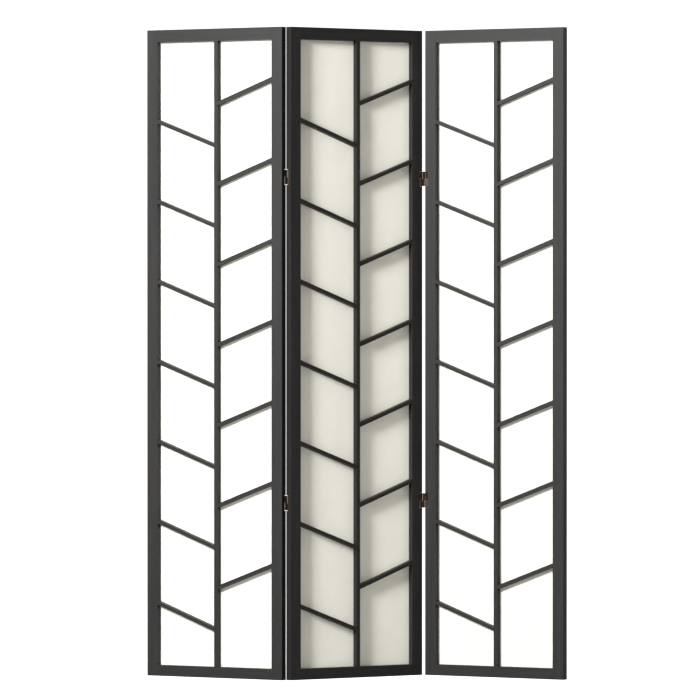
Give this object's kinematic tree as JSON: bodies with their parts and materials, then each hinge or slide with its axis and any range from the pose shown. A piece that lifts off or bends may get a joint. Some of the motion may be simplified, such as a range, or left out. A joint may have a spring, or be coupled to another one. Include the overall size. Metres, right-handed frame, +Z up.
{
  "type": "folding room divider screen",
  "caption": "Free-standing folding room divider of hinged wooden panels, each a black frame with a herringbone slat lattice over white fibre paper.",
  "frame": {"origin": "on the floor, at the middle of the screen's bounding box in plan, as it stands in its zigzag", "axes": "+Z up; -Y towards the front, where the lattice stands in front of the paper; +X to the viewer's right. The panels stand turned about Z from the X axis: left panel -29.5 degrees, middle +31.8, right -26.5"},
  "size_m": [1.1548, 0.251, 1.785],
  "materials": {
    "frame_wood": "black stain, satin",
    "lattice_wood": "black stain, satin",
    "strip_wood": "black stain, satin",
    "paper": "matt long-fibre paper",
    "hinge_bronze": "dark antique bronze",
    "pin_bronze": "dark antique bronze, worn",
    "nail_steel": "dull steel"
  },
  "bodies": {
    "panel_middle": {"middle_panel_left_stile": "frame_wood", "middle_panel_right_stile": "frame_wood", "middle_panel_top_rail": "frame_wood", "middle_panel_bottom_rail": "frame_wood", "middle_panel_centre_bar": "lattice_wood", "middle_panel_left_slats": "lattice_wood", "middle_panel_right_slats": "lattice_wood", "middle_panel_paper": "paper", "middle_panel_left_strip": "strip_wood", "middle_panel_right_strip": "strip_wood", "middle_panel_top_strip": "strip_wood", "middle_panel_bottom_strip": "strip_wood", "middle_panel_strip_nails": "nail_steel", "ridge_upper_right_leaf": "hinge_bronze", "ridge_lower_right_leaf": "hinge_bronze", "ridge_right_screws": "pin_bronze", "valley_upper_left_leaf": "hinge_bronze", "valley_lower_left_leaf": "hinge_bronze", "valley_left_screws": "pin_bronze"},
    "links_ridge": {"ridge_upper_link": "hinge_bronze", "ridge_lower_link": "hinge_bronze", "ridge_hinge_pins": "pin_bronze"},
    "panel_left": {"left_panel_left_stile": "frame_wood", "left_panel_right_stile": "frame_wood", "left_panel_top_rail": "frame_wood", "left_panel_bottom_rail": "frame_wood", "left_panel_centre_bar": "lattice_wood", "left_panel_left_slats": "lattice_wood", "left_panel_right_slats": "lattice_wood", "left_panel_paper": "paper", "left_panel_left_strip": "strip_wood", "left_panel_right_strip": "strip_wood", "left_panel_top_strip": "strip_wood", "left_panel_bottom_strip": "strip_wood", "left_panel_strip_nails": "nail_steel", "ridge_upper_left_leaf": "hinge_bronze", "ridge_lower_left_leaf": "hinge_bronze", "ridge_left_screws": "pin_bronze"},
    "links_valley": {"valley_upper_link": "hinge_bronze", "valley_lower_link": "hinge_bronze", "valley_hinge_pins": "pin_bronze"},
    "panel_right": {"right_panel_left_stile": "frame_wood", "right_panel_right_stile": "frame_wood", "right_panel_top_rail": "frame_wood", "right_panel_bottom_rail": "frame_wood", "right_panel_centre_bar": "lattice_wood", "right_panel_left_slats": "lattice_wood", "right_panel_right_slats": "lattice_wood", "right_panel_paper": "paper", "right_panel_left_strip": "strip_wood", "right_panel_right_strip": "strip_wood", "right_panel_top_strip": "strip_wood", "right_panel_bottom_strip": "strip_wood", "right_panel_strip_nails": "nail_steel", "valley_upper_right_leaf": "hinge_bronze", "valley_lower_right_leaf": "hinge_bronze", "valley_right_screws": "pin_bronze"}
  },
  "joints": [
    {"name": "ridge_middle_pin", "type": "hinge", "parent": "panel_middle", "child": "links_ridge", "pos_m": [-0.18435, -0.10683, 0], "axis": [0, 0, -1], "range_deg": [-35.6, 57.4]},
    {"name": "ridge_left_pin", "type": "hinge", "parent": "links_ridge", "child": "panel_left", "pos_m": [-0.19785, -0.10683, 0], "axis": [0, 0, -1], "range_deg": [-32.4, 60.6]},
    {"name": "valley_middle_pin", "type": "hinge", "parent": "panel_middle", "child": "links_valley", "pos_m": [0.18095, 0.10875, 0], "axis": [0, 0, -1], "range_deg": [-44.6, 57.4]},
    {"name": "valley_right_pin", "type": "hinge", "parent": "links_valley", "child": "panel_right", "pos_m": [0.19445, 0.10875, 0], "axis": [0, 0, -1], "range_deg": [-41.4, 60.6]}
  ]
}
